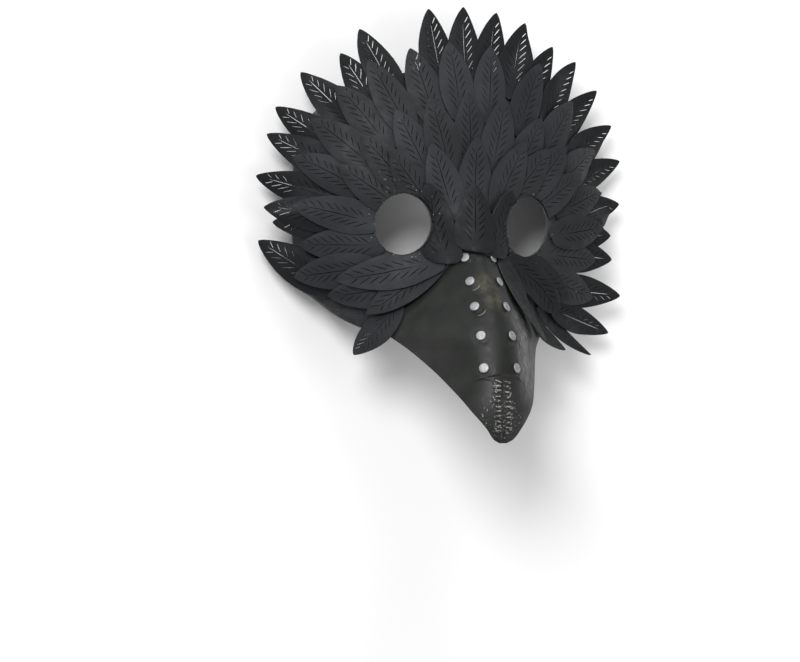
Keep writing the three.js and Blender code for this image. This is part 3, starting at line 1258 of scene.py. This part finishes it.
    def settle(self, stack: Stack) -> None:
        """Raises the leaf smoothly until it clears all that lies under it, and lays it.

        Args:
            stack: what has been laid so far.
        """
        for _ in range(2):
            points, normals = self.samples(*self.lift.shape, 0.0)
            need = stack.shortfall(points, normals, self.CLEARANCE)
            need = windowed(need, *self.WINDOW, np.max)
            self.lift = self.lift + windowed(need, *self.WINDOW, np.mean)
        stack.lay(self.samples(140, 56, self.cut.thickness)[0])

    def build(self, template: bpy.types.Object, name: str) -> bpy.types.Object:
        """Makes the leaf a piece of its own, copied from the flat one.

        Args:
            template: the flat leaf.
            name: the piece's name.

        Returns:
            The piece.
        """
        mesh = template.data.copy()
        flat = coordinates(mesh)
        aside = flat[:, 0] * self.move.width
        points, _ = self.surface(flat[:, 1] / self.cut.length, aside, flat[:, 2])
        set_coordinates(mesh, PLACE.to_frame(points))
        tone = mesh.attributes.new("tone", "FLOAT", "POINT")
        tone.data.foreach_set("value", np.full(len(flat), self.tone, np.float32))
        return add_object(name, mesh)

    def meets_eye(self, side: int) -> bool:
        """Tells whether the leaf reaches over an eye hole.

        Args:
            side: -1 for the left hole and 1 for the right one.

        Returns:
            True if any of it does.
        """
        points, _ = self.samples(24, 9, 0.0)
        x = (points[..., 0] - EYE_X[side]) / EYE_HALF_WIDTH
        return bool(((x**2 + (points[..., 1] / EYE_HALF_HEIGHT) ** 2) < 1.0).any())


# The leaves that the maker set out of line, by number, in the order of Move's fields.
BRIDGE_MOVES = {
    1: Move(-3.1, -6.0, 5, 1.23, 1.2),
    2: Move(-2.7, -1.0, 4, 0.95, 1.1),
    3: Move(-4.8, -1.6, 3, 1.1, 1.25),
}
BROW_MOVES = {
    1: Move(0.0, -0.7),
    2: Move(0.0, -4.0),
    3: Move(-1.8, -2.2),
    4: Move(-2.4, 1.3),
    5: Move(-1.7, 5.3),
}
LEFT_CHEEK_MOVES = {
    1: Move(7.7, 10.5, -8, 1.18),
    2: Move(-5.1, -10.4, 14, 1.04),
    3: Move(11.9, -3.1, 1, 1.36, 1.05),
}
RIGHT_CHEEK_MOVES = {
    1: Move(-7.3, 4.8, 16, 1.24),
    2: Move(-6.2, 6.8, 15, 1.19),
    3: Move(-9.5, 12.0, 31, 1.17, 1.2),
}
MIDDLE_MOVES = {
    1: Move(-6.4, 1.2, -13, 0.83),
    2: Move(-5.0, -2.3),
    4: Move(5.7, -1.2),
    18: Move(0.2, 1.4, 1, 1.13),
}
OUTER_MOVES = {
    1: Move(7.9, 1.6),
    2: Move(7.5, -2.0),
    3: Move(1.7, -0.7),
    4: Move(2.5, -0.9),
    7: Move(3.4, -6.1),
    13: Move(-2.3, -5.5),
    18: Move(0.0, 0.0, -1, 0.91),
    19: Move(0.0, 0.0, -1, 0.76),
    20: Move(0.0, 0.0, 0, 0.84),
    21: Move(-1.8, -9.5, -14, 1.11),
    22: Move(0.4, -6.4, -9, 1.09, 0.8),
    23: Move(-3.3, 4.6, 7, 1.09, 0.52),
    24: Move(-5.7, 7.7, 9, 0.64, 0.95),
}
TEMPLE_MOVES = {1: Move(-6.2, -13.8, 14, 1.11, 1.1)}


@dataclass
class Plumage:
    """All the feathers, from the row nearest the nose outwards."""

    seed: int = 7
    leaf: Cut = Cut("leaf")
    bridge_leaf: Cut = Cut(
        "bridge_leaf",
        length=41.0,
        blunt=0.2,
        base_round=0.12,
        fullness=0.6,
        rib_to_tip=30.0,
        veins=7,
        vein_step=4.1,
    )

    def rows(self) -> list[Row]:
        """Lists the rows, each over the roots of the next one.

        Returns:
            The rows, from the root of the beak outwards.
        """
        inner = dict(cut=self.leaf, top=54, side=29, length=46, fused=True)
        outer = dict(cut=self.leaf, top=102, side=62, curl=2, drape=0.3, follow=0.08, climb=0.26)
        middle = dict(cut=self.leaf, top=84, side=46, drape=0.5, follow=0.55, climb=0.11)
        return [
            Row(
                name="bridge_feathers",
                angles=(-15.5, 0, 16),
                top=45,
                side=45,
                cut=self.bridge_leaf,
                fan_y=-60,
                fan_drop=0,
                length=41,
                drape=0.95,
                follow=0.85,
                climb=0.17,
                moves=BRIDGE_MOVES,
                order=(1, 3, 2),
                fused=True,
                tone=0.22,
            ),
            Row(
                name="brow_feathers",
                angles=(-34, -17, 3, 25, 38),
                top=33,
                side=33,
                cut=self.leaf,
                length=46,
                drape=0.7,
                follow=0.85,
                climb=0.15,
                moves=BROW_MOVES,
                fused=True,
                tone=0.5,
            ),
            Row(
                name="eye_feathers",
                angles=(-53, -39.5, -25, -13, -0.5, 12, 27, 41, 54),
                tone=0.5,
                **inner,
            ),
            Row(
                name="left_cheek_feathers",
                angles=(-126, -114, -103),
                moves=LEFT_CHEEK_MOVES,
                order=(2, 1, 3),
                # The left cheek's leaves are set lighter, as painted light from above.
                tone=0.6,
                **inner,
            ),
            Row(
                name="right_cheek_feathers",
                angles=(104, 115, 126),
                moves=RIGHT_CHEEK_MOVES,
                order=(1, 2, 3),
                # The right cheek's leaves are set darker, as painted shade.
                tone=0.14,
                **inner,
            ),
            Row(
                name="middle_feather",
                angles=(
                    *(-136, -101, -90, -73, -57, -45, -34, -24, -13),
                    *(-3, 8, 21.5, 36, 52, 66, 80, 94, 109),
                ),
                moves=MIDDLE_MOVES,
                **middle,
            ),
            Row(
                name="outer_feather",
                angles=(
                    *(-83, -75.5, -67, -55.5, -48, -38, -29, -22, -6.5, 1, 8.5, 15.5),
                    *(23, 31, 40, 50, 60, 73, 84, 93, 104, 116.5, 127, 136),
                ),
                moves=OUTER_MOVES,
                tone=0.1,
                **outer,
            ),
            Row(
                name="temple_feather",
                angles=(-68,),
                top=66,
                side=66,
                cut=self.leaf,
                fan_y=-50,
                fan_drop=0,
                curl=2,
                drape=0.3,
                follow=0.08,
                level=0.8,
                climb=0.2,
                moves=TEMPLE_MOVES,
                tone=0.14,
            ),
        ]

    def lay_bed(self, stack: Stack) -> None:
        """Lays the shell and the beak's flange as the first layer.

        Args:
            stack: the empty stack.
        """
        a, b = np.meshgrid(np.linspace(-90, 90, 700), np.linspace(-36, 57, 500))
        a, b = np.radians(a), np.radians(b)
        tall = np.where(b > 0, HEAD.rise, HEAD.drop)
        x = HEAD.half_width * np.cos(b) * np.sin(a)
        y = HEAD.centre_y + tall * np.sin(b)
        stack.lay(np.stack([x, y, HEAD.bed_z(x, y)], -1))

    def build(self, finishes: list[bpy.types.Material]) -> None:
        """Builds every row from the outermost inwards, so that each lies on the last.

        Args:
            finishes: the finishes of front, cut edge and back, in Side's order.
        """
        rng = np.random.default_rng(self.seed)
        templates = {cut.name: cut.build() for cut in (self.leaf, self.bridge_leaf)}
        for template in templates.values():
            for finish in finishes:
                template.data.materials.append(finish)
        prisms = {side: eye_prism(side) for side in (-1, 1)}
        stack = Stack()
        self.lay_bed(stack)
        for row in reversed(self.rows()):
            numbers = range(1, len(row.angles) + 1)
            feathers = {n: Feather(row, n, rng) for n in numbers}
            for n in row.order or sorted(numbers, key=lambda n: ((n - 1) % 2, n)):
                feathers[n].settle(stack)
            pieces = []
            for n, feather in feathers.items():
                name = row.name if row.fused else f"{row.name}_{n:02d}"
                piece = feather.build(templates[row.cut.name], f"leaf_{name}_{n:02d}")
                for side in (-1, 1):
                    if feather.meets_eye(side):
                        cut_out(piece, prisms[side])
                pieces.append(piece)
                if not row.fused:
                    piece.name = f"leaf_{name}"
                    hand_over(piece, (name,))
            if row.fused:
                whole = joined(pieces)
                whole.name = f"leaves_{row.name}"
                hand_over(whole, (row.name,))
        drop(*templates.values(), *prisms.values())


@dataclass
class FaceShell:
    """The thin curved shell behind the feathers, felted inside and out."""

    thickness: float = 2.0
    wrap: float = 89.9  # degrees to either side, down to the plane it rests on
    middle: float = 10.5  # degrees up to the middle of the sheet
    reach: float = 46.5  # degrees up and down from there
    top_y: float = 90.0
    top_width: float = 100.0
    top_centre_y: float = 10.0
    # The right half's lower edge, from the temple to the cheek and up over the nose.
    cheek_edge: Pairs = ((100, -8), (86, -31), (71, -49), (57, -58), (38, -64))
    nose_arch: Pairs = ((27, -46), (18, -32), (10, -19), (0, -12))

    @staticmethod
    def spline(points: list[tuple[float, float]], steps: int = 12) -> list[tuple[float, float]]:
        """Draws a smooth curve through points.

        Args:
            points: the points.
            steps: how many points the curve has between two of them.

        Returns:
            The curve's points, without the first one.
        """
        p = np.array(points, float)
        last = len(p) - 1
        out = []
        for n in range(last):
            a, b, c, d = p[max(n - 1, 0)], p[n], p[n + 1], p[min(n + 2, last)]
            for k in range(1, steps + 1):
                t = k / steps
                v0, v1 = (c - a) / 2, (d - b) / 2
                cubic = (2 * b - 2 * c + v0 + v1) * t**3
                square = (-3 * b + 3 * c - 2 * v0 - v1) * t**2
                out.append(tuple(cubic + square + v0 * t + b))
        return out

    def outline(self) -> list[tuple[float, float]]:
        """Draws the shell's edge seen from the front.

        Returns:
            Its points, going round once.
        """
        turn = np.linspace(0, math.pi, 60)
        rise = self.top_y - self.top_centre_y
        top = [(self.top_width * math.cos(t), self.top_centre_y + rise * math.sin(t)) for t in turn]
        cheek, arch = list(self.cheek_edge), list(self.nose_arch)
        left = [(-x, y) for x, y in cheek]
        left_arch = [(-x, y) for x, y in arch]
        out = top + self.spline([top[-1], *left])
        out += self.spline([left[-1], *left_arch])
        out += self.spline([arch[-1], *arch[-2::-1], cheek[-1]])
        out += self.spline([cheek[-1], *cheek[-2::-1]])
        return out

    def build(self, felt: bpy.types.Material) -> None:
        """Builds the shell with its two eye holes.

        Args:
            felt: its finish, inside and out.
        """
        shell = grid("shell", 110, 90)
        points = coordinates(shell.data)
        a = np.radians(points[:, 0] * self.wrap)
        b = np.radians(self.middle + points[:, 1] * self.reach)
        tall = np.where(b > 0, HEAD.rise, HEAD.drop)
        x, y, z = np.cos(b) * np.sin(a), np.sin(b), np.cos(b) * np.cos(a)
        outer = np.stack([HEAD.half_width * x, HEAD.centre_y + tall * y, HEAD.depth * z], -1)
        set_coordinates(shell.data, PLACE.to_frame(outer))
        apply_modifier(shell, "SOLIDIFY", thickness=self.thickness * MILLI, offset=-1.0)
        deselect()
        rim = [(*p, 0.0) for p in self.outline()]
        mesh = bpy.data.meshes.new("rim")
        mesh.from_pydata([tuple(p) for p in PLACE.to_frame(np.array(rim))], [], [range(len(rim))])
        prism = add_object("rim", mesh)
        apply_modifier(prism, "SOLIDIFY", thickness=0.2, offset=0.0)
        apply_modifier(shell, "BOOLEAN", operation="INTERSECT", solver="EXACT", object=prism)
        drop(prism)
        for side in (-1, 1):
            prism = eye_prism(side)
            cut_out(shell, prism)
            drop(prism)
        dress(shell, felt, 50)
        hand_over(shell, ("face_shell",))


@dataclass
class Beak:
    """The hooked beak, its raised band, laced seam and two rows of studs."""

    wall: float = 1.6
    tip_wall: float = 4.0
    # Each pair of studs: its height on the face, and how far it is from the centre line.
    stud_rows: Pairs = ((-18, 8), (-31, 8.4), (-44.5, 9), (-60, 8.8), (-77.4, 9))
    stud_radius: float = 2.8
    band_y: float = -80.6
    lace_from: float = -84.0  # heights on the face between which the seam is laced
    lace_to: float = -114.0
    lace_step: float = 2.75
    lace_beside: float = 2.8  # from the seam to the middle of a stitch
    right_spread: float = 4.2  # how much further the right flank reaches than the left
    tip_lean: float = 1.0
    dimple: float = 0.35  # how deep a stud pulls the sheet in
    fold: float = 0.3  # the height of the fold under a stud
    band: float = 0.55  # how proud the band stands
    groove: float = 0.5  # the depth of the seam
    pucker: float = 0.32  # how high the sheet swells between stitches
    seed: int = 3

    def detail(self, x: Array, y: Array) -> Array:
        """Finds how far the surface stands proud of its plain form.

        Args:
            x: places across the face.
            y: heights on the face.

        Returns:
            The relief at each point in millimetres.
        """
        out = np.zeros(np.shape(x))
        for stud_y, beside in self.stud_rows:
            for side in (-1, 1):
                away = np.hypot(x - side * beside, y - stud_y)
                out -= self.dimple * bump(away - 3.3, 0.9)
                low = y - stud_y + 5.4 + 0.08 * (x - side * beside) ** 2
                out += self.fold * bump(low, 0.5) * bump(x - side * beside - 1.2, 2.4)
        arch = y - self.band_y + 0.022 * x**2
        inside = smooth(-np.abs(x), -15, -11)
        out += self.band * smooth(arch, -0.5, 0.4) * inside * smooth(-y, 62, 80)
        seam = smooth(-y, 81.5, 84) * smooth(y, -117, -113)
        wave = np.cos((y - self.lace_from) / self.lace_step * 2 * math.pi)
        out -= self.groove * bump(x, 0.8) * seam
        side_wave = wave * np.where(x > 0, 1, 0.8)
        out += self.pucker * side_wave * bump(np.abs(x) - self.lace_beside, 1.9) * seam
        return out

    def surface(self, x: Array, y: Array, depth: Array) -> Array:
        """Places points on the beak.

        Args:
            x: places across the face.
            y: heights on the face.
            depth: millimetres under its outer side.

        Returns:
            The points. Only the outer side has the relief.
        """
        normal = HEAD.normal(HEAD.beak_z, x, y)
        at = np.stack([x, y, HEAD.beak_z(x, y)], -1)
        return at + normal * (self.detail(x, y) * (depth < 0.5) - depth)[..., None]

    def build(
        self, leather: bpy.types.Material, cord: bpy.types.Material, nickel: bpy.types.Material
    ) -> None:
        """Builds the beak, its lacing and its studs.

        Args:
            leather: the sheet's finish.
            cord: the lacing's finish.
            nickel: the studs' finish.
        """
        self.build_horn(leather)
        self.build_lacing(cord)
        self.build_studs(nickel)

    def build_horn(self, leather: bpy.types.Material) -> None:
        """Builds the beak's sheet, fine where the lacing pulls it.

        Args:
            leather: its finish.
        """
        horn = grid("beak_horn", 110, 250)
        points = coordinates(horn.data)
        t = (points[:, 1] + 1) / 2
        y = np.interp(t, [0, 0.02, 0.62, 1], [HEAD.beak_tip, -116.9, -78, HEAD.beak_top])
        x = points[:, 0] * HEAD.station(y, 2) + self.tip_lean * smooth(-y, 98, 112)
        bulge = smooth(-y, 56, 75) * smooth(y, -118, -96)
        x += self.right_spread * np.maximum(0, points[:, 0]) * bulge
        set_coordinates(horn.data, np.stack([x, y, 0 * x], -1))
        apply_modifier(horn, "SOLIDIFY", thickness=1.0, offset=-1.0)
        flat = coordinates(horn.data)
        wall = self.wall + (self.tip_wall - self.wall) * smooth(-flat[:, 1], 85, 116)
        placed = self.surface(flat[:, 0], flat[:, 1], -flat[:, 2] * wall)
        set_coordinates(horn.data, PLACE.to_frame(placed))
        apply_modifier(
            horn, "BEVEL", width=0.4 * MILLI, segments=2, angle_limit=math.radians(60)
        )
        dress(horn, leather, 50)
        hand_over(horn, ("beak",))

    def frame_at(self, x: float, y: float, above: float) -> Matrix:
        """Finds a frame on the beak, its Z outwards and its Y up the face.

        Args:
            x: its place across the face.
            y: its height on the face.
            above: millimetres over the beak's outer side.

        Returns:
            The matrix that places a small part, drawn in millimetres, there.
        """
        spot = self.surface(np.array([float(x)]), np.array([float(y)]), np.zeros(1))[0]
        up = HEAD.normal(HEAD.beak_z, np.array([x]), np.array([y]))[0]
        place = PLACE.to_frame(spot + up * above)
        z = Vector(up)
        side = Vector((0, 1, 0)).cross(z).normalized()
        turn = Matrix((side, z.cross(side), z)).transposed().to_4x4()
        return Matrix.Translation(Vector(place)) @ turn @ Matrix.Scale(MILLI, 4)

    def build_lacing(self, cord: bpy.types.Material) -> None:
        """Builds the short raised stitches on both sides of the seam.

        Args:
            cord: their finish.
        """
        rng = np.random.default_rng(self.seed)
        deselect()
        bpy.ops.mesh.primitive_uv_sphere_add(segments=12, ring_count=8, radius=1)
        stitch = bpy.context.object
        points = coordinates(stitch.data)
        bent = points * np.array([1.9, 0.5, 0.42])
        bent[:, 2] -= 0.08 * bent[:, 0] ** 2
        set_coordinates(stitch.data, bent)
        deselect()
        bpy.ops.mesh.primitive_torus_add(
            major_radius=0.72, minor_radius=0.27, major_segments=14, minor_segments=8
        )
        loop = bpy.context.object
        copies = []
        count = int((self.lace_from - self.lace_to) / self.lace_step) + 1
        for n in range(count):
            for side in (-1, 1):
                y = self.lace_from - (n + 0.12 * side) * self.lace_step + rng.uniform(-0.5, 0.5)
                fit = min(1.0, float(HEAD.station(np.array(y), 2)) / 11)
                turn = Matrix.Rotation(math.radians(side * 10 + rng.uniform(-26, 26)), 4, "Z")
                size = Matrix.Diagonal((fit * rng.uniform(0.65, 1.1), rng.uniform(0.7, 1.2), 1, 1))
                beside = side * (self.lace_beside + rng.uniform(-0.4, 0.4)) * fit
                low = rng.uniform(-0.45, 0.05)
                for part, x, low in ((stitch, beside, 0.1), (loop, 1.62 * beside, low)):
                    mesh = part.data.copy()
                    sideways = y - 0.4 * (part is loop)
                    mesh.transform(self.frame_at(x, sideways, low) @ turn @ size)
                    copies.append(add_object("stitch", mesh))
        drop(loop, stitch)
        lacing = joined(copies)
        lacing.name = "beak_lacing"
        dress(lacing, cord, 60)
        hand_over(lacing)

    def build_studs(self, nickel: bpy.types.Material) -> None:
        """Builds one stud and sets copies of it in both rows.

        Args:
            nickel: their finish.
        """
        deselect()
        bpy.ops.mesh.primitive_cylinder_add(vertices=40, radius=self.stud_radius, depth=1.0)
        stud = bpy.context.object
        bpy.ops.object.mode_set(mode="EDIT")
        bpy.ops.mesh.select_all(action="DESELECT")
        bpy.ops.object.mode_set(mode="OBJECT")
        for face in stud.data.polygons:
            face.select = face.normal.z > 0.9
        bpy.ops.object.mode_set(mode="EDIT")
        for inset, rise in ((0.25, 0.25), (0.5, 0.14), (0.8, 0.08), (0.8, 0.02)):
            bpy.ops.mesh.inset(thickness=inset)
            bpy.ops.transform.translate(value=(0, 0, rise))
        bpy.ops.object.mode_set(mode="OBJECT")
        apply_modifier(stud, "SUBSURF", levels=1, render_levels=1)
        dress(stud, nickel, 60)
        for number, (y, beside) in enumerate(self.stud_rows, 1):
            for name, side in (("left", -1), ("right", 1)):
                mesh = stud.data.copy()
                mesh.transform(self.frame_at(side * beside, y, GAP))
                piece = add_object(f"head_{name}_{number}", mesh)
                hand_over(piece, (f"stud_{name}_{number}",))
        drop(stud)


@dataclass
class Studio:
    """The camera at the photograph's angle, the floor and the soft lights."""

    distance: float = 1500.0
    yaw: float = 20.0
    roll: float = 1.2
    scale: float = 1.78  # pixels per millimetre at the target
    target: tuple[float, float, float] = (0.0, 0.0, 60.0)
    target_pixel: tuple[float, float] = (470.0, 225.5)
    sensor: float = 36.0

    def build(self) -> None:
        """Sets up the whole studio."""
        self.add_camera()
        self.add_floor()
        self.add_lights()
        bpy.context.scene.view_settings.view_transform = "Standard"

    def add_camera(self) -> None:
        """Adds the camera, shifted so that the target falls on its pixel."""
        yaw, roll = math.radians(self.yaw), math.radians(self.roll)
        forward = Vector((math.sin(yaw), 0, -math.cos(yaw)))
        level = Vector((math.cos(yaw), 0, math.sin(yaw)))
        up = level.cross(forward)
        right = level * math.cos(roll) + up * math.sin(roll)
        high = up * math.cos(roll) - level * math.sin(roll)
        data = bpy.data.cameras.new("camera")
        data.sensor_width = self.sensor
        data.lens = self.scale * self.distance * self.sensor / PHOTO_WIDTH
        data.shift_x = (PHOTO_WIDTH / 2 - self.target_pixel[0]) / PHOTO_WIDTH
        data.shift_y = (self.target_pixel[1] - PHOTO_HEIGHT / 2) / PHOTO_WIDTH
        data.clip_end = 20
        camera = add_object("camera", data)
        place = Vector(PLACE.to_frame(np.array(self.target)))
        place -= forward * self.distance * MILLI
        turn = Matrix((right, high, -forward)).transposed().to_4x4()
        camera.matrix_world = Matrix.Translation(place) @ turn
        bpy.context.scene.camera = camera

    def add_floor(self) -> None:
        """Adds the white sheet that the mask lies on."""
        deselect()
        bpy.ops.mesh.primitive_grid_add(x_subdivisions=8, y_subdivisions=8, size=6)
        floor = bpy.context.object
        floor.name = "floor"
        floor.data.materials.append(StudioFloor().build())

    def add_lights(self) -> None:
        """Adds a large key from the upper left, a fill and an even surround."""
        # Each light's name, place and diameter in metres, and watts.
        lights = (
            ("key", (-0.9, 0.8, 1.5), 0.8, 27.0),
            ("top", (0.1, 1.3, 0.9), 0.8, 6.5),
            ("fill", (1.0, -0.5, 1.4), 1.2, 9.0),
        )
        for name, place, size, power in lights:
            data = bpy.data.lights.new(name, "AREA")
            data.shape = "DISK"
            data.size = size
            data.energy = power
            light = add_object(name, data)
            light.location = place
            light.rotation_euler = (-Vector(place)).to_track_quat("-Z", "Y").to_euler()
        world = bpy.data.worlds.new("surround")
        world.use_nodes = True
        world.node_tree.nodes["Background"].inputs["Color"].default_value = colour("ffffff")
        world.node_tree.nodes["Background"].inputs["Strength"].default_value = 0.32
        bpy.context.scene.world = world


def main() -> None:
    """Builds the mask and its studio."""
    Studio().build()
    felt = ShellFelt().build()
    FaceShell().build(felt)
    Beak().build(BeakLeather().build(), LacingCord().build(), SatinNickel().build())
    leather = [FeatherLeather().build(), CutEdge().build(), BackingCloth().build()]
    Plumage().build(leather)


if __name__ == "__main__":
    main()
